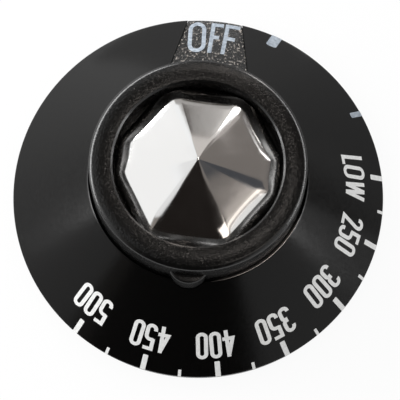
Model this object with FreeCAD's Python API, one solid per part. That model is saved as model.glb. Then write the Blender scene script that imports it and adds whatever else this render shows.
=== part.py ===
# Oven control knob: a conical dial plate over a moulded body, with a faceted chrome cap in the grip.
# Millimetres. The knob turns about Z, its front faces +Z, its rear rim lies on Z = 0 and OFF is toward +Y.
import FreeCAD, Part
import math
import os
from FreeCAD import Vector

# Dial plate, a thin sheet pressed to a cone
dial_radius = 31.75
plate_thickness = 0.5
plate_edge_height = 2.2
cone_slope_deg = 42.0
plate_fit = 0.1
film = 0.05

# Skirt of the body under the plate
skirt_wall = 1.9
rim_land = 1.2

# Grip with the well for the cap
grip_radius = 17.7
shoulder_height = 21.2
shoulder_round = 0.6
crest_radius = 15.9
crest_height = 21.8
well_radius = 13.8
mouth_height = 21.45
mouth_bevel = 0.3
well_depth = 5.2
well_floor_thickness = 2.0

# Pad for the OFF mark, in a gap of the plate
pad_rim_width = 9.3
pad_grip_width = 13.4
pad_recess = 0.15
pad_end_bevel = 0.5

# Half-round key rib on the grip, opposite the pad
key_width = 5.5
key_reach = 1.35
key_height = 18.0
key_bevel = 0.3

# Hub, ribs and the D socket for a quarter inch stem
hub_radius = 7.0
hub_recess = 1.0
rib_thickness = 1.6
rib_recess = 3.0
rib_count = 4
stem_radius = 3.175
pilot_fit = 0.05
pilot_length = 4.5
socket_fit = 0.01
socket_depth = 12.3
flat_offset = 1.6

# Leaf spring in the slot beside the flat of the socket
spring_width = 3.0
spring_thickness = 0.4
spring_slot_depth = 2.9
spring_proud = 0.2
spring_fit = 0.1
spring_end_gap = 0.5

# Faceted cap, a stamped shell
cap_thickness = 0.8
cap_fit = 0.25
cap_seat = 0.05
facet_edge_height = 19.9
apex_height = 24.3
end_corner_radius = 12.8
end_corner_deg = 27.0
side_corner_radius = 11.95
side_corner_deg = 12.0
cap_spread = 1.45
band_drop = 1.1
cap_turn_deg = 2.3
facet_round = 0.3

# How far a cutting shape runs past the face that it cuts
overcut = 1.0

Z_AXIS = Vector(0, 0, 1)
ORIGIN = Vector(0, 0, 0)


def at(radius, height):
    return Vector(radius, 0, height)


def line(start, end):
    return Part.LineSegment(start, end).toShape()


def arc(start, middle, end):
    return Part.Arc(start, middle, end).toShape()


def revolved(edges):
    return Part.Face(Part.Wire(edges)).revolve(ORIGIN, Z_AXIS, 360)


def polygon(points):
    return Part.Face(Part.makePolygon(points + points[:1]))


def cylinder(radius, bottom, top, y=0.0):
    return Part.makeCylinder(radius, top - bottom, Vector(0, y, bottom))


def box(low, high):
    size = high - low
    return Part.makeBox(size.x, size.y, size.z, low)


# The plate's underside is a cone, and the plate, the pad and the skirt are layers beside that cone
slope = math.radians(cone_slope_deg)
sheet_normal = at(math.sin(slope), math.cos(slope))
plate_edge_radius = dial_radius - plate_thickness * sheet_normal.x
plate_hole_radius = grip_radius + plate_fit
rim_radius = plate_edge_radius - film * sheet_normal.x
skirt_inside = -film - skirt_wall

key_radius = ((key_width / 2) ** 2 + key_reach ** 2) / (2 * key_reach)
key_centre = key_radius - grip_radius - key_reach

well_floor = mouth_height - well_depth
cavity_roof = well_floor - well_floor_thickness
pilot_radius = stem_radius + pilot_fit
socket_radius = stem_radius + socket_fit
pilot_end = hub_recess + pilot_length
socket_end = hub_recess + socket_depth


# Point of a layer at a radius, where lift is the layer's height above the underside, square to the cone
def cone_point(lift, radius):
    rise = (plate_edge_radius - radius) * math.tan(slope)
    return at(radius, plate_edge_height + rise + lift / sheet_normal.z)


# Ring of sheet between two lifts, with ends cut square to the cone
def cone_layer(low, high, outer_radius, inner_radius):
    outer = cone_point(0, outer_radius)
    inner = cone_point(0, inner_radius)
    corners = [outer + sheet_normal * low, outer + sheet_normal * high,
               inner + sheet_normal * high, inner + sheet_normal * low]
    return polygon(corners).revolve(ORIGIN, Z_AXIS, 360)


# Upright prism round the OFF pad, wider toward the grip, with its sides moved out by a gap
def pad_prism(gap):
    taper = (pad_grip_width - pad_rim_width) / 2 / (dial_radius - grip_radius)
    inner = grip_radius - key_reach
    outer = dial_radius + overcut
    inner_half = pad_grip_width / 2 + (grip_radius - inner) * taper + gap
    outer_half = pad_rim_width / 2 - overcut * taper + gap
    outline = polygon([Vector(-inner_half, inner, 0), Vector(inner_half, inner, 0),
                       Vector(outer_half, outer, 0), Vector(-outer_half, outer, 0)])
    return outline.extrude(at(0, shoulder_height))


def dial_plate():
    sheet = cone_layer(0, plate_thickness, plate_edge_radius, plate_hole_radius)
    key_slot = cylinder(key_radius + plate_fit, 0, shoulder_height, y=key_centre)
    return sheet.cut([pad_prism(plate_fit), key_slot])


def off_pad():
    top = plate_thickness - pad_recess
    start = plate_edge_radius - pad_end_bevel
    layer = revolved([line(cone_point(-2 * film, rim_radius), cone_point(0, rim_radius)),
                      line(cone_point(0, rim_radius), cone_point(top, start)),
                      line(cone_point(top, start), cone_point(top, grip_radius)),
                      line(cone_point(top, grip_radius), cone_point(-2 * film, grip_radius)),
                      line(cone_point(-2 * film, grip_radius), cone_point(-2 * film, rim_radius))])
    return layer.common(pad_prism(0))


def key_rib(cavity):
    post = cylinder(key_radius, plate_edge_height, key_height - key_bevel, y=key_centre)
    top = Part.makeCone(key_radius, key_radius - key_bevel, key_bevel,
                        Vector(0, key_centre, key_height - key_bevel))
    inside = cylinder(grip_radius - key_reach, 0, shoulder_height)
    return post.fuse(top).cut([inside, cavity])


def grip_and_skirt():
    foot = cone_point(-film, rim_radius)
    root = cone_point(-film, grip_radius)
    crest = at(crest_radius, crest_height)
    mouth = at(well_radius + mouth_bevel, mouth_height)
    throat = at(well_radius, mouth_height - mouth_bevel)
    crown = Part.Circle(at(grip_radius, shoulder_height), crest, mouth)

    # The round of the shoulder touches the wall and the crown
    round_reach = crown.Radius - shoulder_round
    round_offset = grip_radius - shoulder_round - crown.Center.x
    toward_round = at(round_offset, math.sqrt(round_reach ** 2 - round_offset ** 2)).normalize()
    round_centre = crown.Center + toward_round * round_reach
    wall_top = round_centre + at(shoulder_round, 0)
    round_middle = round_centre + (at(1, 0) + toward_round).normalize() * shoulder_round
    crown_start = crown.Center + toward_round * crown.Radius

    return revolved([line(at(0, 0), at(foot.x, 0)),
                     line(at(foot.x, 0), foot),
                     line(foot, root),
                     line(root, wall_top),
                     arc(wall_top, round_middle, crown_start),
                     arc(crown_start, crest, mouth),
                     line(mouth, throat),
                     line(throat, at(well_radius, well_floor)),
                     line(at(well_radius, well_floor), at(0, well_floor)),
                     line(at(0, well_floor), at(0, 0))])


def rear_cavity():
    edge = cone_point(skirt_inside, plate_edge_radius)
    low_radius = edge.x + (edge.z + overcut) / math.tan(slope)
    roof_radius = edge.x - (cavity_roof - edge.z) / math.tan(slope)
    cone = Part.makeCone(low_radius, roof_radius, cavity_roof + overcut, at(0, -overcut))
    return cone.common(cylinder(rim_radius - rim_land, -overcut, cavity_roof))


def rear_ribs(cavity):
    half = rib_thickness / 2
    blade = box(Vector(0, -half, rib_recess), Vector(dial_radius, half, cavity_roof))
    ribs = []
    for index in range(rib_count):
        rib = blade.copy()
        rib.rotate(ORIGIN, Z_AXIS, (index + 0.5) * 360 / rib_count)
        ribs.append(rib.common(cavity))
    return ribs


# Round pilot at the mouth, then a slightly tapered D, with a slot for the spring along its flat
def stem_socket():
    mouth = hub_recess - overcut
    pilot = cylinder(pilot_radius, mouth, pilot_end)
    bore = Part.makeCone(pilot_radius, socket_radius, socket_end - pilot_end, at(0, pilot_end))
    flat = box(Vector(-pilot_radius, flat_offset, pilot_end), Vector(pilot_radius, pilot_radius, socket_end))
    slot_half = spring_width / 2 + spring_fit
    slot = box(Vector(-slot_half, 0, mouth), Vector(slot_half, spring_slot_depth, socket_end))
    return bore.cut(flat).fuse([pilot, slot])


def knob_body():
    cavity = rear_cavity()
    hub = cylinder(hub_radius, hub_recess, cavity_roof)
    body = grip_and_skirt().cut(cavity)
    body = body.fuse([hub, off_pad(), key_rib(cavity)] + rear_ribs(cavity))
    return body.cut(stem_socket()).removeSplitter()


def stem_spring():
    low = pilot_end + spring_end_gap
    high = socket_end - spring_end_gap
    middle = (low + high) / 2
    end_back = spring_slot_depth - spring_fit
    end_front = end_back - spring_thickness
    bow_front = flat_offset - spring_proud
    bow_back = bow_front + spring_thickness

    def place(depth, height):
        return Vector(-spring_width / 2, depth, height)

    leaf = Part.Wire([arc(place(end_front, low), place(bow_front, middle), place(end_front, high)),
                      line(place(end_front, high), place(end_back, high)),
                      arc(place(end_back, high), place(bow_back, middle), place(end_back, low)),
                      line(place(end_back, low), place(end_front, low))])
    return Part.Face(leaf).extrude(Vector(spring_width, 0, 0))


# Eight-sided solid: an upright side, a sloping band up to the facet edge, then eight facets to the apex
def facets(inset, base, edge_height, apex):
    ends = end_corner_radius - inset
    sides = side_corner_radius - inset
    corners = [(ends, end_corner_deg), (sides, 90 - side_corner_deg),
               (sides, 90 + side_corner_deg), (ends, 180 - end_corner_deg)]
    corners += [(radius, angle + 180) for radius, angle in corners]
    bearings = [(radius, math.radians(angle + cap_turn_deg)) for radius, angle in corners]
    spread = 1 + cap_spread / ends
    edge = [Vector(radius * math.sin(a), radius * math.cos(a), edge_height) for radius, a in bearings]
    band = [Vector(corner.x * spread, corner.y * spread, edge_height - band_drop) for corner in edge]
    foot = [Vector(corner.x, corner.y, base) for corner in band]
    faces = [polygon(foot)]
    for index in range(len(edge)):
        after = (index + 1) % len(edge)
        faces.append(polygon([foot[index], foot[after], band[after], band[index]]))
        faces.append(polygon([band[index], band[after], edge[after], edge[index]]))
        faces.append(polygon([edge[index], edge[after], at(0, apex)]))
    solid = Part.Solid(Part.Shell(faces))
    if solid.Volume < 0:
        solid.reverse()
    return solid


def faceted_cap():
    seat = well_floor + cap_seat
    outside_radius = well_radius - cap_fit
    outside = facets(0, seat, facet_edge_height, apex_height)
    outside = outside.common(cylinder(outside_radius, seat, apex_height))
    rim = [edge for edge in outside.Edges if abs(edge.CenterOfMass.z - facet_edge_height) < facet_round]
    outside = outside.makeFillet(facet_round, rim)
    inside = facets(cap_thickness, seat - overcut, facet_edge_height - cap_thickness,
                    apex_height - cap_thickness)
    inside = inside.common(cylinder(outside_radius - cap_thickness, seat - overcut, apex_height))
    return outside.cut(inside)


os.makedirs("parts", exist_ok=True)
knob_body().exportStep("parts/knob_body.step")
dial_plate().exportStep("parts/dial_plate.step")
faceted_cap().exportStep("parts/faceted_cap.step")
stem_spring().exportStep("parts/stem_spring.step")
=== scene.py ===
import math
import bmesh
import bpy
from mathutils import Matrix, Vector


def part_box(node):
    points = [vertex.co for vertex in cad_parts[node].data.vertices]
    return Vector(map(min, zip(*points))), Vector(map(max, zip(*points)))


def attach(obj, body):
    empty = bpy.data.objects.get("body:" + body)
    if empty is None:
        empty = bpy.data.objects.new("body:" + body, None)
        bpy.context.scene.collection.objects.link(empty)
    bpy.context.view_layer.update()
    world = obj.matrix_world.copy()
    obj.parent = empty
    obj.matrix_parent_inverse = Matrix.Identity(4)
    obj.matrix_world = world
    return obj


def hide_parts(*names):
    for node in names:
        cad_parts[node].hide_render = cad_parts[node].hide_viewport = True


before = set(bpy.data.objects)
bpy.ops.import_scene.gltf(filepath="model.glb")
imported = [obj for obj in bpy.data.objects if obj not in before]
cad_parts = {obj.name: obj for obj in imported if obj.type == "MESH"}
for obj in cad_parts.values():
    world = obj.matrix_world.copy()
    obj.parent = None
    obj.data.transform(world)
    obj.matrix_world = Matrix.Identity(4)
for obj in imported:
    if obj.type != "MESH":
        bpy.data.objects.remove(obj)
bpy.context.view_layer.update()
scene = bpy.context.scene


# Knob body
# One black phenolic moulding: a conical skirt, a round grip with a well for the cap, a pebbled pad for
# the OFF mark and a half-round key rib. The hub with the stem socket stands in the hollow rear on ribs.
MM = 0.001
plate_low, plate_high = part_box("dial_plate")
body_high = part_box("knob_body")[1]
dial_radius = plate_high.x
plate_thickness = 0.5 * MM
cone_slope = math.radians(42)
film = 0.05 * MM
rim_radius = body_high.x
under_edge = Vector((dial_radius - plate_thickness * math.sin(cone_slope), plate_low.z))
skirt_wall = 1.9 * MM
rim_land = 1.2 * MM
grip_radius = 17.7 * MM
crown_radius = 7.0 * MM
crown_centre = Vector((15.2 * MM, body_high.z - crown_radius))
crown_end_radius = 17.07 * MM
crown_steps = 24
lip_radius = 1.6 * MM
lip_end = math.radians(44)
lip_width = 0.5 * MM
lip_steps = 8
mouth_radius = 14.1 * MM
mouth_height = 21.72 * MM
mouth_bevel = 0.3 * MM
well_radius = mouth_radius - mouth_bevel
well_floor = 16.25 * MM
cavity_roof = 14.25 * MM
spin_steps = 300
spin_weld = 0.001 * MM
noise_low = 0.3
noise_high = 0.7


def cone_height(radius, lift):
    rise = (under_edge.x - radius) * math.tan(cone_slope)
    return under_edge.y + rise + lift / math.cos(cone_slope)


def round_points(centre, radius, start, end, steps):
    angles = [start + (end - start) * index / steps for index in range(steps + 1)]
    return [(centre.x + radius * math.cos(angle), centre.y + radius * math.sin(angle)) for angle in angles]


def spun(section, closed):
    bm = bmesh.new()
    verts = [bm.verts.new((radius, 0, height)) for radius, height in section]
    ends = zip(verts, verts[1:] + verts[:1]) if closed else zip(verts, verts[1:])
    edges = [bm.edges.new(pair) for pair in ends]
    bmesh.ops.spin(bm, geom=verts + edges, axis=(0, 0, 1), angle=math.tau, steps=spin_steps, use_merge=True)
    bmesh.ops.remove_doubles(bm, verts=bm.verts, dist=spin_weld)
    bmesh.ops.recalc_face_normals(bm, faces=bm.faces)
    return bm


def cut_off(bm, place, outward):
    whole = bm.verts[:] + bm.edges[:] + bm.faces[:]
    bmesh.ops.bisect_plane(bm, geom=whole, plane_co=place, plane_no=outward, clear_outer=True)


def piece_from(name, bm, *finishes):
    mesh = bpy.data.meshes.new(name)
    bm.to_mesh(mesh)
    bm.free()
    for finish in finishes:
        mesh.materials.append(finish)
    piece = bpy.data.objects.new(name, mesh)
    scene.collection.objects.link(piece)
    return piece


def combine(piece, tool, operation):
    step = piece.modifiers.new("combine", "BOOLEAN")
    step.operation = operation
    step.solver = "EXACT"
    step.object = tool
    graph = bpy.context.evaluated_depsgraph_get()
    result = bpy.data.meshes.new_from_object(piece.evaluated_get(graph))
    piece.modifiers.clear()
    piece.data = result
    bpy.data.objects.remove(tool)


def shade(piece, sharp_deg):
    piece.data.shade_smooth()
    piece.data.set_sharp_from_angle(angle=math.radians(sharp_deg))


def finish_nodes(name):
    material = bpy.data.materials.new(name)
    material.use_nodes = True
    nodes = material.node_tree.nodes
    return material, nodes, material.node_tree.links, nodes["Principled BSDF"]


def object_noise(nodes, links, scale, detail, stretch=None):
    place = nodes.new("ShaderNodeTexCoord").outputs["Object"]
    if stretch:
        grain = nodes.new("ShaderNodeMapping")
        grain.inputs["Scale"].default_value = stretch
        links.new(place, grain.inputs["Vector"])
        place = grain.outputs["Vector"]
    noise = nodes.new("ShaderNodeTexNoise")
    noise.inputs["Scale"].default_value = scale
    noise.inputs["Detail"].default_value = detail
    links.new(place, noise.inputs["Vector"])
    return noise.outputs["Fac"]


def ramped(nodes, links, value, start, end, low=0, high=1):
    ramp = nodes.new("ShaderNodeMapRange")
    ramp.inputs["From Min"].default_value = start
    ramp.inputs["From Max"].default_value = end
    ramp.inputs["To Min"].default_value = low
    ramp.inputs["To Max"].default_value = high
    links.new(value, ramp.inputs["Value"])
    return ramp.outputs["Result"]


def vary_roughness(nodes, links, noise, surface, low, high):
    roughness = ramped(nodes, links, noise, noise_low, noise_high, low, high)
    links.new(roughness, surface.inputs["Roughness"])


def tint_between(nodes, links, share, first, second, surface):
    tint = nodes.new("ShaderNodeMix")
    tint.data_type = "RGBA"
    tint.inputs["A"].default_value = (*first, 1)
    tint.inputs["B"].default_value = (*second, 1)
    links.new(share, tint.inputs["Factor"])
    links.new(tint.outputs["Result"], surface.inputs["Base Color"])


def grain_bump(nodes, links, height, surface, distance, strength):
    bump = nodes.new("ShaderNodeBump")
    bump.inputs["Distance"].default_value = distance
    bump.inputs["Strength"].default_value = strength
    links.new(height, bump.inputs["Height"])
    links.new(bump.outputs["Normal"], surface.inputs["Normal"])


def smooth_phenolic():
    material, nodes, links, surface = finish_nodes("black_phenolic_smooth")
    surface.inputs["Base Color"].default_value = (0.003, 0.0029, 0.0028, 1)
    wear = object_noise(nodes, links, scale=900, detail=4)
    vary_roughness(nodes, links, wear, surface, low=0.2, high=0.3)
    grain_bump(nodes, links, wear, surface, distance=0.01 * MM, strength=0.3)
    return material


def pebbled_phenolic(name, grain_scale, grain_depth, gloss, glint_colour):
    material, nodes, links, surface = finish_nodes(name)
    surface.inputs["Roughness"].default_value = 0.15
    surface.inputs["Specular IOR Level"].default_value = gloss
    pebbles = object_noise(nodes, links, scale=1, detail=2, stretch=grain_scale)
    # The tops of the pebbles are painted paler than the rest: painted glints of the grain, brightest on the
    # pad.
    tops = ramped(nodes, links, pebbles, start=0.56, end=0.74)
    tint_between(nodes, links, tops, (0.0025, 0.0024, 0.0023), glint_colour, surface)
    grain_bump(nodes, links, pebbles, surface, distance=grain_depth, strength=0.8)
    return material


phenolic = smooth_phenolic()
# The last colour of each grain is the painted glint colour of its pebble tops.
crown_finish = pebbled_phenolic("black_phenolic_fine_grain", grain_scale=(3000, 3000, 3000),
                                grain_depth=0.09 * MM, gloss=0.4, glint_colour=(0.016, 0.015, 0.014))
pad_finish = pebbled_phenolic("black_phenolic_pebbled", grain_scale=(2700, 1500, 1500),
                              grain_depth=0.3 * MM, gloss=0.35, glint_colour=(0.4, 0.36, 0.32))

crown_start = math.acos((crown_end_radius - crown_centre.x) / crown_radius)
crown_end = math.acos((mouth_radius - crown_centre.x) / crown_radius)
crown = round_points(crown_centre, crown_radius, crown_start, crown_end, crown_steps)
lip_start = math.acos(math.cos(lip_end) - lip_width / lip_radius)
lip_centre = Vector(crown[0]) - lip_radius * Vector((math.cos(lip_start), math.sin(lip_start)))
lip = round_points(lip_centre, lip_radius, lip_end, lip_start, lip_steps)
corner_radius = (grip_radius - lip[0][0]) / (1 - math.cos(lip_end))
corner_centre = Vector(lip[0]) - corner_radius * Vector((math.cos(lip_end), math.sin(lip_end)))
corner = round_points(corner_centre, corner_radius, 0, lip_end, lip_steps)
skirt_inside = -film - skirt_wall
cavity_rim = rim_radius - rim_land
inside_rise = skirt_inside / math.cos(cone_slope)
cavity_roof_radius = under_edge.x + (under_edge.y + inside_rise - cavity_roof) / math.tan(cone_slope)
well = [(0, well_floor), (well_radius, well_floor), (well_radius, mouth_height - mouth_bevel)]
skirt = [(grip_radius, cone_height(grip_radius, -film)), (rim_radius, cone_height(rim_radius, -film)),
         (rim_radius, 0), (cavity_rim, 0), (cavity_rim, cone_height(cavity_rim, skirt_inside)),
         (cavity_roof_radius, cavity_roof), (0, cavity_roof)]
bm = spun(well + crown[:0:-1] + lip[:0:-1] + corner[::-1] + skirt, closed=False)
for face in bm.faces:
    middle = face.calc_center_median()
    if middle.z > crown[0][1] and middle.xy.length > mouth_radius:
        face.material_index = 1
knob_body = piece_from("knob_body_moulding", bm, phenolic, crown_finish, pad_finish)

pad_rim_width = 9.3 * MM
pad_grip_width = 13.4 * MM
pad_drop = 0.15 * MM
pad_top = plate_thickness - pad_drop
pad_end_bevel = 0.15 * MM
pad_turn = math.atan((pad_grip_width - pad_rim_width) / 2 / (dial_radius - grip_radius))
pad_root = 1.0 * MM
pad_inner = grip_radius - pad_root
pad_end = dial_radius - film
pad_base = -4 * film


def trim_to_pad(bm, gap):
    for side in (-1, 1):
        rim_corner = Vector((side * (pad_rim_width / 2 + gap), dial_radius, 0))
        cut_off(bm, rim_corner, Vector((side * math.cos(pad_turn), math.sin(pad_turn), 0)))
    cut_off(bm, (0, 0, 0), (0, -1, 0))
    bmesh.ops.holes_fill(bm, edges=bm.edges)
    bmesh.ops.recalc_face_normals(bm, faces=bm.faces)


pad_section = [(rim_radius - film, cone_height(rim_radius, pad_base)),
               (pad_end - film, cone_height(pad_end, 0)),
               (pad_end, cone_height(pad_end, pad_top) - pad_end_bevel / 2),
               (pad_end - pad_end_bevel, cone_height(pad_end - pad_end_bevel, pad_top)),
               (pad_inner, cone_height(pad_inner, pad_top)),
               (pad_inner, cone_height(pad_inner, pad_base))]
bm = spun(pad_section, closed=True)
trim_to_pad(bm, gap=0)
for face in bm.faces:
    face.material_index = 2
combine(knob_body, piece_from("off_pad", bm, phenolic, crown_finish, pad_finish), "UNION")

key_reach = 1.35 * MM
key_width = 5.5 * MM
key_radius = ((key_width / 2) ** 2 + key_reach ** 2) / (2 * key_reach)
key_centre = key_radius - grip_radius - key_reach
key_height = 18.0 * MM
key_bevel = 0.3 * MM
key_foot = 12.85 * MM
key_back = -17.0 * MM
post_sides = 96
hub_sides = 128


def post(sides, low_radius, high_radius, bottom, top, centre_y=0):
    bm = bmesh.new()
    middle = Matrix.Translation((0, centre_y, (bottom + top) / 2))
    bmesh.ops.create_cone(bm, cap_ends=True, segments=sides, radius1=low_radius, radius2=high_radius,
                          depth=top - bottom, matrix=middle)
    return bm


bm = post(post_sides, key_radius, key_radius, key_foot, key_height, key_centre)
top_ring = [edge for edge in bm.edges if all(vert.co.z > key_height - film for vert in edge.verts)]
bmesh.ops.bevel(bm, geom=top_ring, offset=key_bevel, segments=4, profile=0.5, affect="EDGES", material=-1)
cut_off(bm, (0, key_back, 0), (0, 1, 0))
bmesh.ops.holes_fill(bm, edges=bm.edges)
combine(knob_body, piece_from("key_rib", bm, phenolic), "UNION")

hub_radius = 7.0 * MM
hub_recess = 1.0 * MM
rib_thickness = 1.6 * MM
rib_recess = 3.0 * MM
rib_count = 4
sunk = 0.4 * MM
bm = post(hub_sides, hub_radius, hub_radius, hub_recess, cavity_roof + sunk)
combine(knob_body, piece_from("hub", bm, phenolic), "UNION")

rib_low = under_edge.x + (under_edge.y + inside_rise - rib_recess) / math.tan(cone_slope)
rib_outline = [(hub_radius - sunk, rib_recess), (rib_low + sunk, rib_recess),
               (cavity_roof_radius, cavity_roof + sunk), (hub_radius - sunk, cavity_roof + sunk)]
for index in range(rib_count):
    bm = bmesh.new()
    side = [bm.verts.new((radius, -rib_thickness / 2, height)) for radius, height in rib_outline]
    face = bm.faces.new(side)
    grown = bmesh.ops.extrude_face_region(bm, geom=[face])
    moved = [item for item in grown["geom"] if isinstance(item, bmesh.types.BMVert)]
    bmesh.ops.translate(bm, verts=moved, vec=(0, rib_thickness, 0))
    turn = Matrix.Rotation(math.tau * (index + 0.5) / rib_count, 3, "Z")
    bmesh.ops.rotate(bm, verts=bm.verts, matrix=turn)
    bmesh.ops.recalc_face_normals(bm, faces=bm.faces)
    combine(knob_body, piece_from("rib", bm, phenolic), "UNION")

pilot_radius = 3.225 * MM
socket_radius = 3.185 * MM
pilot_end = 5.5 * MM
socket_end = 13.3 * MM
flat_offset = 1.6 * MM
slot_half = 1.6 * MM
slot_depth = 2.9 * MM
slot_end = socket_end - film
bm = post(post_sides, pilot_radius, pilot_radius, 0, pilot_end)
combine(knob_body, piece_from("pilot", bm, phenolic), "DIFFERENCE")
bm = post(post_sides, pilot_radius, socket_radius, pilot_end - film, socket_end)
cut_off(bm, (0, flat_offset, 0), (0, 1, 0))
bmesh.ops.holes_fill(bm, edges=bm.edges)
combine(knob_body, piece_from("stem_bore", bm, phenolic), "DIFFERENCE")
bm = bmesh.new()
bmesh.ops.create_cube(bm, size=1)
bmesh.ops.scale(bm, verts=bm.verts, vec=(2 * slot_half, slot_depth, slot_end))
bmesh.ops.translate(bm, verts=bm.verts, vec=(0, slot_depth / 2, slot_end / 2))
combine(knob_body, piece_from("spring_slot", bm, phenolic), "DIFFERENCE")
shade(knob_body, sharp_deg=32)
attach(knob_body, "root")
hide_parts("knob_body")


# Dial plate
# A thin aluminium sheet pressed to a cone and coated satin black, laid over the skirt round the grip.
# Its hole, its gap for the pad and its slot for the key rib are cut after coating, so their edges are bare.
# The bare edges are painted nearly black, with one painted highlight toward the lower right.
plate_fit = 0.1 * MM
hole_edge_round = 0.09 * MM
rim_edge_round = 0.18 * MM
edge_margin = 0.4 * MM
sheet_normal = Vector((math.sin(cone_slope), math.cos(cone_slope)))
hole_under = Vector((grip_radius + plate_fit, cone_height(grip_radius + plate_fit, 0)))
edge_over = under_edge + sheet_normal * plate_thickness
hole_over = hole_under + sheet_normal * plate_thickness
# Bearing and spread of the painted highlight on the bare edges.
highlight_bearing = math.radians(138)
highlight_spread = math.radians(28)


def satin_coat():
    material, nodes, links, surface = finish_nodes("black_coated_sheet")
    surface.inputs["Base Color"].default_value = (0.0022, 0.0021, 0.002, 1)
    surface.inputs["Specular IOR Level"].default_value = 0.21
    mottle = object_noise(nodes, links, scale=1700, detail=5)
    vary_roughness(nodes, links, mottle, surface, low=0.16, high=0.21)
    grain_bump(nodes, links, mottle, surface, distance=0.02 * MM, strength=0.5)
    return material


def bare_edge():
    material, nodes, links, surface = finish_nodes("bare_sheet_edge")
    surface.inputs["Metallic"].default_value = 1
    burr = object_noise(nodes, links, scale=3000, detail=3)
    vary_roughness(nodes, links, burr, surface, low=0.25, high=0.5)
    # Edge metal is painted nearly black all round, with a painted highlight of bright metal only about the
    # highlight bearing.
    place = nodes.new("ShaderNodeTexCoord")
    toward_highlight = nodes.new("ShaderNodeVectorMath")
    toward_highlight.operation = "DOT_PRODUCT"
    toward_highlight.inputs[1].default_value = (math.sin(highlight_bearing), math.cos(highlight_bearing), 0)
    links.new(place.outputs["Object"], toward_highlight.inputs[0])
    lit_edge = ramped(nodes, links, toward_highlight.outputs["Value"], start=grip_radius * math.cos(highlight_spread),
                  end=grip_radius)
    tint_between(nodes, links, lit_edge, (0.01, 0.01, 0.01), (0.78, 0.72, 0.69), surface)
    return material


def ring_at(bm, place):
    return [edge for edge in bm.edges
            if all(abs(vert.co.xy.length - place.x) < film and vert.co.z > place.y - film
                   for vert in edge.verts)]


coat = satin_coat()
bare = bare_edge()
down_sheet = Vector((math.cos(cone_slope), -math.sin(cone_slope))) * edge_margin
bm = spun([under_edge, edge_over, edge_over - down_sheet, hole_over + down_sheet, hole_over, hole_under],
          closed=True)
hole_ring = ring_at(bm, hole_over)
rim_ring = ring_at(bm, edge_over)
bmesh.ops.bevel(bm, geom=hole_ring, offset=hole_edge_round, segments=4, profile=0.5, affect="EDGES",
                material=-1)
bmesh.ops.bevel(bm, geom=rim_ring, offset=rim_edge_round, segments=4, profile=0.5, affect="EDGES",
                material=-1)
for face in bm.faces:
    if face.calc_center_median().xy.length < hole_over.x + hole_edge_round:
        face.material_index = 1
dial_plate = piece_from("dial_plate_sheet", bm, coat, bare)

gap_margin = 1.0 * MM
gap_start = pad_inner - gap_margin
gap_end = dial_radius + gap_margin
bm = spun([(gap_start, 0), (gap_end, 0), (gap_end, key_height), (gap_start, key_height)], closed=True)
trim_to_pad(bm, gap=plate_fit)
for face in bm.faces:
    face.material_index = 1
combine(dial_plate, piece_from("pad_gap", bm, coat, bare), "DIFFERENCE")
bm = post(post_sides, key_radius + plate_fit, key_radius + plate_fit, 0, key_height, key_centre)
for face in bm.faces:
    face.material_index = 1
combine(dial_plate, piece_from("key_slot", bm, coat, bare), "DIFFERENCE")
shade(dial_plate, sharp_deg=32)
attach(dial_plate, "root")
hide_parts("dial_plate")


# Printed scale
# White ink, screen printed on the coated sheet: seven named marks from LOW to 500 with short half marks
# between them. The words run clockwise with their tops toward the rim.
ink_height = 0.02 * MM
ink_lift = plate_thickness + ink_height
print_cell = 0.5 * MM
stroke_step = 0.002 * MM
stroke_weld = 0.0004 * MM
bend_step_deg = 15
least_bend_steps = 4


def white_ink(name, thin_colour, full_colour):
    material, nodes, links, surface = finish_nodes(name)
    surface.inputs["Roughness"].default_value = 0.5
    patch = object_noise(nodes, links, scale=1600, detail=3)
    cover = ramped(nodes, links, patch, noise_low, noise_high)
    tint_between(nodes, links, cover, thin_colour, full_colour, surface)
    return material


ink = white_ink("white_ink", (0.74, 0.74, 0.73), (0.84, 0.84, 0.83))


def draw_stroke(bm, start, depth, heading_deg, width, moves):
    heading = math.radians(heading_deg)
    place = Vector((start[0], start[1], -depth))
    left = Vector((-math.sin(heading), math.cos(heading), 0))
    nib = [bm.verts.new(place + left * side * width / 2) for side in (1, -1)]
    edge = bm.edges.new(nib)
    for length, radius, turn_deg in moves:
        turn = math.radians(turn_deg)
        along = Vector((math.cos(heading), math.sin(heading), 0))
        left = Vector((-math.sin(heading), math.cos(heading), 0))
        place = place + along * length
        pull = 0 if radius else math.tan(turn / 2)
        if length:
            grown = bmesh.ops.extrude_edge_only(bm, edges=[edge])["geom"]
            nib = [item for item in grown if isinstance(item, bmesh.types.BMVert)]
            edge = bm.edges.get(nib)
            for vert in nib:
                side = math.copysign(width / 2, (vert.co - place).dot(left))
                vert.co = place + left * side - along * side * pull
        if radius:
            centre = place + left * math.copysign(radius, turn)
            steps = max(least_bend_steps, round(abs(turn_deg) / bend_step_deg))
            swept = bmesh.ops.spin(bm, geom=[edge] + nib, cent=centre, axis=(0, 0, 1), angle=turn,
                                   steps=steps)["geom_last"]
            nib = [item for item in swept if isinstance(item, bmesh.types.BMVert)]
            edge = bm.edges.get(nib)
            place = (nib[0].co + nib[1].co) / 2
        heading += turn


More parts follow.
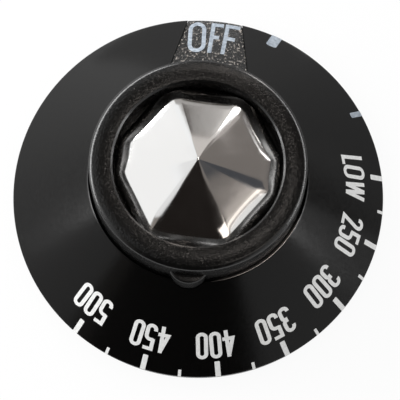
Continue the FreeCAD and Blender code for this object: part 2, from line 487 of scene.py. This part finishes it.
# Each stroke of a letter is its start, its heading and its moves: length, radius of the bend, turn.
def strokes_of(letter, width, height, weight):
    wide = (width - weight) / 2
    tall = (height - weight) / 2
    straight = tall - wide
    end = weight / 2
    hook = 0.12 * wide
    if letter in "0O":
        return [((wide, 0), 90, [(straight, wide, 180), (2 * straight, wide, 180), (straight, 0, 0)])]
    if letter == "2":
        slant = 19.5
        neck = 1.8 * wide
        drop = 0.3 * wide
        fall = tall + straight - drop - neck * math.sin(math.radians(slant))
        head = [(3 * hook, wide, -180), (drop, neck, -slant)]
        foot = [(fall / math.cos(math.radians(slant)), 0, 90 + slant), (1.78 * wide + end, 0, 0)]
        return [((-wide, straight - 3 * hook), 90, head + foot)]
    if letter == "3":
        elbow = 0.7 * wide
        side = straight - elbow - 0.2 * wide
        upper = [(2 * hook, wide, -180), (side, elbow, -90), (0.55 * wide, 0, 0)]
        lower = [(2 * hook, wide, 180), (side, elbow, 90), (0.55 * wide, 0, 0)]
        return [((-wide, straight - 2 * hook), 90, upper), ((-wide, 2 * hook - straight), -90, lower)]
    if letter == "4":
        drop = 1.42 * tall
        run = 1.45 * wide
        stem = 0.4 * wide
        lean = math.degrees(math.atan2(drop, run))
        bent = [(math.hypot(drop, run), 0, 180 - lean), (2.05 * wide + end, 0, 0)]
        return [((stem, -tall - end), 90, [(2 * tall + 2 * end, 0, 0)]), ((stem, tall), 180 + lean, bent)]
    if letter == "5":
        bowl = 0.2 * tall
        elbow = 1.05 * wide
        side = bowl - elbow + straight
        flag = [(1.65 * wide + end, 0, 90), (0.9 * tall, 0, 0)]
        belly = [(0.85 * wide, elbow, -90), (side, wide, -180), (3 * hook, 0, 0)]
        return [((0.85 * wide + end, tall), 180, flag), ((-0.9 * wide, bowl), 0, belly)]
    if letter == "L":
        return [((-wide, tall + end), -90, [(2 * tall + end, 0, 90), (2 * wide + end, 0, 0)])]
    if letter == "W":
        step = wide / 2
        first = -wide - end / 4
        lean = math.degrees(math.atan2(2 * tall, step))
        slope = [(math.hypot(2 * tall, step), 0, 0)]
        return [((first + step * index, tall * way), -lean * way, slope)
                for index, way in enumerate((1, -1, 1, -1))]
    stem_and_top = [(2 * tall + end, 0, -90), (2 * wide + end, 0, 0)]
    return [((-wide, -tall - end), 90, stem_and_top), ((-wide, 0.06 * tall), 0, [(1.75 * wide, 0, 0)])]


def flat_letter(letter, width, height, weight):
    bm = bmesh.new()
    for index, (start, heading_deg, moves) in enumerate(strokes_of(letter, width, height, weight)):
        draw_stroke(bm, start, index * stroke_step, heading_deg, weight, moves)
    bmesh.ops.remove_doubles(bm, verts=bm.verts, dist=stroke_weld)
    return bm


def rolled_on(bm, bearing, middle_radius, lift):
    flat_radius = middle_radius / math.cos(cone_slope)
    for vert in bm.verts:
        reach = math.hypot(flat_radius + vert.co.y, vert.co.x)
        turn = math.atan2(vert.co.x, flat_radius + vert.co.y) / math.cos(cone_slope)
        radius = reach * math.cos(cone_slope)
        angle = bearing + turn
        vert.co = (radius * math.sin(angle), radius * math.cos(angle), cone_height(radius, lift + vert.co.z))


def cut_in_cells(bm):
    for axis in (Vector((1, 0, 0)), Vector((0, 1, 0))):
        places = [vert.co.dot(axis) for vert in bm.verts]
        for index in range(math.ceil(min(places) / print_cell), math.floor(max(places) / print_cell) + 1):
            bmesh.ops.bisect_plane(bm, geom=bm.verts[:] + bm.edges[:] + bm.faces[:],
                                   plane_co=axis * index * print_cell, plane_no=axis)


def printed(bm, bearing, middle_radius, lift):
    cut_in_cells(bm)
    rolled_on(bm, bearing, middle_radius, lift)
    bmesh.ops.recalc_face_normals(bm, faces=bm.faces)
    down = [face for face in bm.faces if face.normal.z < 0]
    bmesh.ops.reverse_faces(bm, faces=down)
    bmesh.ops.solidify(bm, geom=bm.faces[:], thickness=ink_height)


def flat_mark(width, length, corner):
    bm = bmesh.new()
    bmesh.ops.create_grid(bm, x_segments=1, y_segments=1, size=0.5)
    bmesh.ops.scale(bm, verts=bm.verts, vec=(width, length, 1))
    inner = [vert for vert in bm.verts if vert.co.y < 0]
    bmesh.ops.bevel(bm, geom=inner, offset=corner, segments=4, profile=0.5, affect="VERTICES", material=-1)
    return bm


# Word, bearing of its mark, bearing of the word, radius of its middle.
scale_words = (("LOW", 79.8, 81.2, 26.5 * MM), ("250", 102.1, 102.7, 26.65 * MM),
               ("300", 124.0, 124.3, 26.85 * MM), ("350", 146.4, 146.4, 27.05 * MM),
               ("400", 168.5, 168.5, 27.15 * MM), ("450", 191.7, 191.7, 26.85 * MM),
               ("500", 215.4, 215.4, 26.6 * MM))
half_marks = (90.8, 112.8, 135.1, 157.4, 180.3, 203.7)
word_height = 5.15 * MM
word_weight = 0.66 * MM
figure_width = 2.0 * MM
figure_pitch = 2.25 * MM
low_letters = (("L", 1.65 * MM, -3.1 * MM), ("O", 2.3 * MM, -0.95 * MM), ("W", 3.3 * MM, 2.25 * MM))
mark_inset = 0.05 * MM
mark_end = dial_radius - mark_inset
mark_start = 29.5 * MM
mark_width = 0.9 * MM
mark_corner = 0.15 * MM
half_mark_start = 30.7 * MM
half_mark_width = 0.52 * MM
half_mark_corner = 0.08 * MM


def mark(bearing_deg, width, inner_radius, corner):
    length = (mark_end - inner_radius) / math.cos(cone_slope)
    bm = flat_mark(width, length, corner)
    printed(bm, math.radians(bearing_deg), (inner_radius + mark_end) / 2, ink_lift)
    return bm


def joined(flats):
    whole = bmesh.new()
    for bm in flats:
        part = bpy.data.meshes.new("print")
        bm.to_mesh(part)
        bm.free()
        whole.from_mesh(part)
        bpy.data.meshes.remove(part)
    return whole


prints = []
for word, mark_deg, word_deg, word_radius in scale_words:
    prints.append(mark(mark_deg, mark_width, mark_start, mark_corner))
    figures = [(figure, figure_width, figure_pitch * (index - 1)) for index, figure in enumerate(word)]
    for letter, width, offset in low_letters if word == "LOW" else figures:
        bm = flat_letter(letter, width, word_height, word_weight)
        printed(bm, math.radians(word_deg) + offset / word_radius, word_radius, ink_lift)
        prints.append(bm)
for bearing_deg in half_marks:
    prints.append(mark(bearing_deg, half_mark_width, half_mark_start, half_mark_corner))
scale_print = piece_from("scale_print", joined(prints), ink)
shade(scale_print, sharp_deg=40)
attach(scale_print, "root")


# OFF mark
# Three letters in white ink, printed on the pebbled pad and fanned about the axis. The same ink makes the
# wide mark beside the pad and the narrow one after it, which lie on the coated sheet. It is painted darker
# and bluer than the scale's ink: painted cool shade at the top of the dial.
off_radius = 27.0 * MM
off_height = 6.05 * MM
off_weight = 0.7 * MM
off_stretch = 1.82
off_letters = (("O", 3.1 * MM, -2.76 * MM, 2.3), ("F", 2.15 * MM, 0.5 * MM, -0.8),
               ("F", 2.6 * MM, 3.1 * MM, -2.1))
wide_mark = mark(20.5, width=1.9 * MM, inner_radius=28.8 * MM, corner=0.5 * MM)
narrow_mark = mark(57.5, width=1.0 * MM, inner_radius=mark_start, corner=0.25 * MM)
# A darker, bluer copy of the white ink: painted cool shade on OFF and the two marks beside it.
shaded_ink = white_ink("white_ink_painted_cool_shade", (0.19, 0.225, 0.27), (0.42, 0.47, 0.53))
off_flats = [wide_mark, narrow_mark]
for letter, width, offset, lean_deg in off_letters:
    bm = flat_letter(letter, width, off_height, off_weight)
    bmesh.ops.scale(bm, verts=bm.verts, vec=(1, off_stretch, 1))
    bmesh.ops.rotate(bm, verts=bm.verts, matrix=Matrix.Rotation(math.radians(lean_deg), 3, "Z"))
    bmesh.ops.translate(bm, verts=bm.verts, vec=(offset, 0, 0))
    printed(bm, 0, off_radius, pad_top + ink_height)
    off_flats.append(bm)
off_mark = piece_from("off_mark", joined(off_flats), shaded_ink)
shade(off_mark, sharp_deg=40)
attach(off_mark, "root")


# Faceted cap
# A bright chromed stamping in the well of the grip: eight facets that rise to a soft apex, six wide and
# two narrow, with rounded ridges and a spreading side that is pressed down into the well.
cap_low, cap_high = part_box("faceted_cap")
end_corner_radius = 13.6 * MM
end_corner = math.radians(27)
side_corner_radius = 12.6 * MM
side_corner = math.radians(12)
corner_round = 1.9 * MM
corner_steps = 12
short_side = corner_round / 3
cap_turn = math.radians(2.3)
cap_outside = 13.55 * MM
cap_shares = (1.113, 1.11, 1.1, 1.075, 1.05, 1.03, 1.015, 1.0, 0.975, 0.95, 0.925, 0.9, 0.875, 0.85, 0.825,
              0.8, 0.5, 0.35, 0.2, 0.1, 0.02)
foot_share = cap_shares[0]
facet_top = 24.2 * MM
facet_fall = 4.19 * MM
edge_share = 0.8
edge_fall = 5.2 * MM
knee_fall = 48 * MM
tip_share = 0.35
tip_fall = 3.55 * MM
apex_height = 23.97 * MM
edge_cuts = 9
scallop_start = 0.8
scallop_end = 1.05
scallop_depth = 0.3 * MM


def bright_chrome():
    material, nodes, links, surface = finish_nodes("bright_chrome")
    surface.inputs["Base Color"].default_value = (0.9, 0.885, 0.87, 1)
    surface.inputs["Metallic"].default_value = 1
    ripple = object_noise(nodes, links, scale=350, detail=2)
    vary_roughness(nodes, links, ripple, surface, low=0.08, high=0.12)
    grain_bump(nodes, links, ripple, surface, distance=0.02 * MM, strength=0.25)
    return material


chrome = bright_chrome()
half_corners = [(end_corner_radius, end_corner), (side_corner_radius, math.pi / 2 - side_corner),
                (side_corner_radius, math.pi / 2 + side_corner), (end_corner_radius, math.pi - end_corner)]
corners = half_corners + [(radius, angle + math.pi) for radius, angle in half_corners]
corner_bearings = [angle for radius, angle in corners]
corner_bearings.append(corner_bearings[0] + math.tau)


def facet_middle(place):
    turned = math.atan2(place.x, place.y) - cap_turn - corner_bearings[0]
    bearing = turned % math.tau + corner_bearings[0]
    for first, second in zip(corner_bearings, corner_bearings[1:]):
        if first <= bearing <= second:
            along = (bearing - first) / (second - first)
            return 4 * along * (1 - along)


def cap_height(share):
    if share < tip_share:
        return apex_height - tip_fall * share
    edge = edge_fall * max(0, share - edge_share) ** 2
    knee = knee_fall * max(0, share - 1) ** 2
    return facet_top - facet_fall * share - edge - knee


def scallop(share):
    run = (min(share, scallop_end) - scallop_start) / (scallop_end - scallop_start)
    return scallop_depth * max(0, run) ** 2


bm = bmesh.new()
foot = bm.faces.new([bm.verts.new((foot_share * radius * math.sin(angle + cap_turn),
                                   foot_share * radius * math.cos(angle + cap_turn), cap_low.z))
                     for radius, angle in corners])
bmesh.ops.bevel(bm, geom=foot.verts[:], offset=corner_round, segments=corner_steps, profile=0.5,
                affect="VERTICES", material=-1)
sides = [edge for edge in bm.edges if edge.calc_length() > short_side]
bmesh.ops.subdivide_edges(bm, edges=sides, cuts=edge_cuts)
ring_edges = bm.edges[:]
last_share, last_height, last_dip = foot_share, cap_low.z, 0
for share in cap_shares:
    grown = bmesh.ops.extrude_edge_only(bm, edges=ring_edges)["geom"]
    ring = [item for item in grown if isinstance(item, bmesh.types.BMVert)]
    ring_edges = [item for item in grown
                  if isinstance(item, bmesh.types.BMEdge) and all(vert in ring for vert in item.verts)]
    ratio = share / last_share
    bmesh.ops.scale(bm, verts=ring, vec=(ratio, ratio, 1))
    height, dip = cap_height(share), scallop(share)
    bmesh.ops.translate(bm, verts=ring, vec=(0, 0, height - last_height))
    for vert in ring:
        vert.co.z -= (dip - last_dip) * facet_middle(vert.co)
    last_share, last_height, last_dip = share, height, dip
bmesh.ops.holes_fill(bm, edges=ring_edges)
tip_faces = [face for face in bm.faces if len(face.verts) > 4 and face is not foot]
tip = bmesh.ops.poke(bm, faces=tip_faces)["verts"]
bmesh.ops.translate(bm, verts=tip, vec=(0, 0, apex_height - last_height))
bmesh.ops.recalc_face_normals(bm, faces=bm.faces)
faceted_cap = piece_from("faceted_cap_shell", bm, chrome)
bm = post(spin_steps, cap_outside, cap_outside, -2 * cap_high.z, 2 * cap_high.z)
combine(faceted_cap, piece_from("cap_bound", bm, chrome), "INTERSECT")
shade(faceted_cap, sharp_deg=40)
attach(faceted_cap, "root")
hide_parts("faceted_cap")


# Stem spring
# A bowed leaf of spring steel in the slot beside the flat of the socket. It is held by its own bow and
# presses the knob to the control stem.
def spring_steel():
    material, nodes, links, surface = finish_nodes("spring_steel")
    surface.inputs["Base Color"].default_value = (0.42, 0.4, 0.38, 1)
    surface.inputs["Metallic"].default_value = 1
    brush = object_noise(nodes, links, scale=4000, detail=2)
    vary_roughness(nodes, links, brush, surface, low=0.25, high=0.4)
    return material


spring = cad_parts["stem_spring"]
spring.data.materials.clear()
spring.data.materials.append(spring_steel())


# Floor
# A plain white sweep that the knob lies on. It is seen and mirrored as nearly white, keeps a faint shadow,
# and is clear from below, so that the rear of the knob can be looked at.
floor_radius = 3.0
floor_glow = 0.93


def background_rays(nodes, links):
    path = nodes.new("ShaderNodeLightPath")
    total = path.outputs["Is Camera Ray"]
    for ray in ("Is Glossy Ray", "Is Transmission Ray"):
        either = nodes.new("ShaderNodeMath")
        either.operation = "MAXIMUM"
        links.new(total, either.inputs[0])
        links.new(path.outputs[ray], either.inputs[1])
        total = either.outputs[0]
    return total


def empty_nodes(block, output):
    block.use_nodes = True
    nodes, links = block.node_tree.nodes, block.node_tree.links
    nodes.clear()
    return nodes, links, nodes.new(output).inputs["Surface"]


def white_floor():
    material = bpy.data.materials.new("white_floor")
    nodes, links, surface = empty_nodes(material, "ShaderNodeOutputMaterial")
    paper = nodes.new("ShaderNodeBsdfDiffuse")
    paper.inputs["Color"].default_value = (0.85, 0.85, 0.85, 1)
    glow = nodes.new("ShaderNodeEmission")
    share = nodes.new("ShaderNodeMath")
    share.operation = "MULTIPLY"
    share.inputs[1].default_value = floor_glow
    blend = nodes.new("ShaderNodeMixShader")
    clear = nodes.new("ShaderNodeBsdfTransparent")
    side = nodes.new("ShaderNodeNewGeometry")
    one_sided = nodes.new("ShaderNodeMixShader")
    links.new(background_rays(nodes, links), share.inputs[0])
    links.new(share.outputs[0], blend.inputs["Fac"])
    links.new(paper.outputs[0], blend.inputs[1])
    links.new(glow.outputs[0], blend.inputs[2])
    links.new(side.outputs["Backfacing"], one_sided.inputs["Fac"])
    links.new(blend.outputs[0], one_sided.inputs[1])
    links.new(clear.outputs[0], one_sided.inputs[2])
    links.new(one_sided.outputs[0], surface)
    return material


bm = bmesh.new()
bmesh.ops.create_circle(bm, cap_ends=True, segments=96, radius=floor_radius)
floor = piece_from("floor", bm, white_floor())


# Light
# An even white room and one long soft box low on the left light the knob. The other soft boxes and the
# glowing cards show only as reflections, in the chrome, the coat and the grain: pale ones at the right and
# behind, grey ones above, and a nearly black card in front for the dark sides of the facets.
room_strength = 0.9
warm = (1, 0.92, 0.85)
cool = (0.9, 0.97, 1)
plain = (1, 1, 1)
right_box_layers = ((0.03, 1.2), (0.05, 0.5), (0.09, 0.4))


def soft_box(name, bearing_deg, elevation_deg, distance, width, height, radiance, tint, lights_matt=False):
    lamp = bpy.data.lights.new(name, "AREA")
    lamp.shape = "RECTANGLE"
    lamp.size = width
    lamp.size_y = height
    lamp.color = tint
    lamp.energy = radiance * math.pi * width * height
    light = bpy.data.objects.new(name, lamp)
    bearing, elevation = math.radians(bearing_deg), math.radians(elevation_deg)
    toward = Vector((math.sin(bearing) * math.cos(elevation), math.cos(bearing) * math.cos(elevation),
                     math.sin(elevation)))
    light.location = toward * distance
    light.rotation_euler = toward.to_track_quat("Z", "Y").to_euler()
    light.visible_camera = False
    light.visible_diffuse = lights_matt
    scene.collection.objects.link(light)


def stage_card(name, first, second, third, glow):
    material = bpy.data.materials.new(name)
    nodes, links, surface = empty_nodes(material, "ShaderNodeOutputMaterial")
    sheet = nodes.new("ShaderNodeEmission")
    sheet.inputs["Color"].default_value = (*glow, 1)
    links.new(sheet.outputs[0], surface)
    bm = bmesh.new()
    corners = [Vector(first), Vector(second), Vector(third)]
    corners.append(corners[0] + corners[2] - corners[1])
    bm.faces.new([bm.verts.new(corner) for corner in corners])
    card = piece_from(name, bm, material)
    card.visible_camera = False
    card.visible_diffuse = False
    card.visible_shadow = False


def level_card(name, left, right, front, back, height, glow):
    stage_card(name, (left, front, height), (right, front, height), (right, back, height), glow)


def upright_card(name, left, right, low, high, depth, glow):
    stage_card(name, (left, depth, low), (right, depth, low), (right, depth, high), glow)


soft_box("left_box", 300, 22, 0.35, 0.62, 0.09, 12.5, plain, lights_matt=True)
soft_box("left_screen", 288, 46, 0.40, 0.70, 0.22, 0.18, cool)
for height, radiance in right_box_layers:
    soft_box("right_box", 114, 51, 0.35, 0.16, height, radiance, warm)
soft_box("corner_box", 137, 56, 0.35, 0.12, 0.09, 1.5, warm)
soft_box("right_strip", 60, 22, 0.35, 0.66, 0.05, 11.0, plain)
soft_box("back_box", 18, 36, 0.35, 0.07, 0.05, 4.0, plain)
soft_box("crown_box", 3, 53, 0.36, 0.06, 0.03, 12.0, warm)
soft_box("pad_box", 20, 14, 0.35, 0.05, 0.02, 24.0, warm)
soft_box("side_box", 52, 35, 0.35, 0.09, 0.02, 2.0, plain)
soft_box("top_box", 47, 80, 0.36, 0.05, 0.05, 7.0, warm)
level_card("ceiling_card", -0.22, 0.62, -0.09, 0.50, 0.40, (0.17, 0.155, 0.145))
level_card("ceiling_strip", -0.12, 0.16, 0.40, 0.48, 0.395, (0.6, 0.57, 0.55))
level_card("ceiling_beam", 0.16, 0.40, -0.03, 0.08, 0.39, (0.055, 0.058, 0.065))
level_card("ceiling_edge", -0.22, -0.06, 0.30, 0.51, 0.394, (0.8, 0.81, 0.82))
level_card("front_screen", -0.25, -0.12, -0.12, 0.02, 0.388, (0.8, 0.81, 0.82))
upright_card("back_card", -0.20, 0.30, 0.03, 0.46, 0.52, (0.38, 0.37, 0.36))
upright_card("back_dim", -0.07, -0.009, 0.34, 0.46, 0.515, (0.13, 0.12, 0.115))
upright_card("back_glow", 0.007, 0.07, 0.34, 0.46, 0.515, (0.66, 0.64, 0.62))
level_card("ceiling_glow", 0.15, 0.275, 0.329, 0.42, 0.392, (0.42, 0.39, 0.375))
upright_card("back_rail", -0.20, 0.20, 0.215, 0.255, 0.51, (0.04, 0.035, 0.03))
stage_card("side_card", (0.28, 0.52, 0.03), (0.64, 0.06, 0.03), (0.64, 0.06, 0.42), (0.14, 0.13, 0.125))
# Grey cards on the floor, seen only in reflections: painted shade on the floor to the right of and behind
# the knob, which is otherwise mirrored nearly white.
level_card("painted_floor_shade", 0.02, 0.30, 0.0, 0.30, 0.001, (0.48, 0.48, 0.48))
level_card("floor_shade", -0.03, 0.03, 0.034, 0.14, 0.0012, (0.5, 0.5, 0.5))
stage_card("front_card", (-0.38, -0.50, 0.0), (0.15, -0.50, 0.0), (0.39, -0.09, 0.42), (0.012, 0.01, 0.009))
stage_card("front_edge", (-0.50, -0.50, 0.0), (-0.38, -0.50, 0.0), (-0.14, -0.09, 0.42), (0.22, 0.2, 0.185))

room = bpy.data.worlds.new("room")
scene.world = room
nodes, links, surface = empty_nodes(room, "ShaderNodeOutputWorld")
room_light = nodes.new("ShaderNodeBackground")
room_light.inputs["Strength"].default_value = room_strength
white = nodes.new("ShaderNodeBackground")
blend = nodes.new("ShaderNodeMixShader")
links.new(background_rays(nodes, links), blend.inputs["Fac"])
links.new(room_light.outputs[0], blend.inputs[1])
links.new(white.outputs[0], blend.inputs[2])
links.new(blend.outputs[0], surface)


# Camera
# Looks down steeply on the knob from the side of the key rib and a little to its right, with OFF at the
# top of the picture, from about three hundred millimetres.
view_bearing = math.radians(5.4)
view_elevation = math.radians(75)
view_distance = 300 * MM
lens_mm = 157.7
nearest = 10 * MM
aim_down = 1.07 * MM
aim_right = 0.31 * MM
toward_viewer = Vector((math.sin(view_bearing), -math.cos(view_bearing), 0))
rightward = Vector((math.cos(view_bearing), math.sin(view_bearing), 0))
back = toward_viewer * math.cos(view_elevation) + Vector((0, 0, math.sin(view_elevation)))
aim = Vector((0, 0, edge_over.y)) + toward_viewer * aim_down + rightward * aim_right
camera_data = bpy.data.cameras.new("camera")
camera_data.lens = lens_mm
camera_data.clip_start = nearest
camera = bpy.data.objects.new("camera", camera_data)
camera.location = aim + back * view_distance
camera.rotation_euler = back.to_track_quat("Z", "Y").to_euler()
scene.collection.objects.link(camera)
scene.camera = camera
scene.view_settings.view_transform = "Standard"
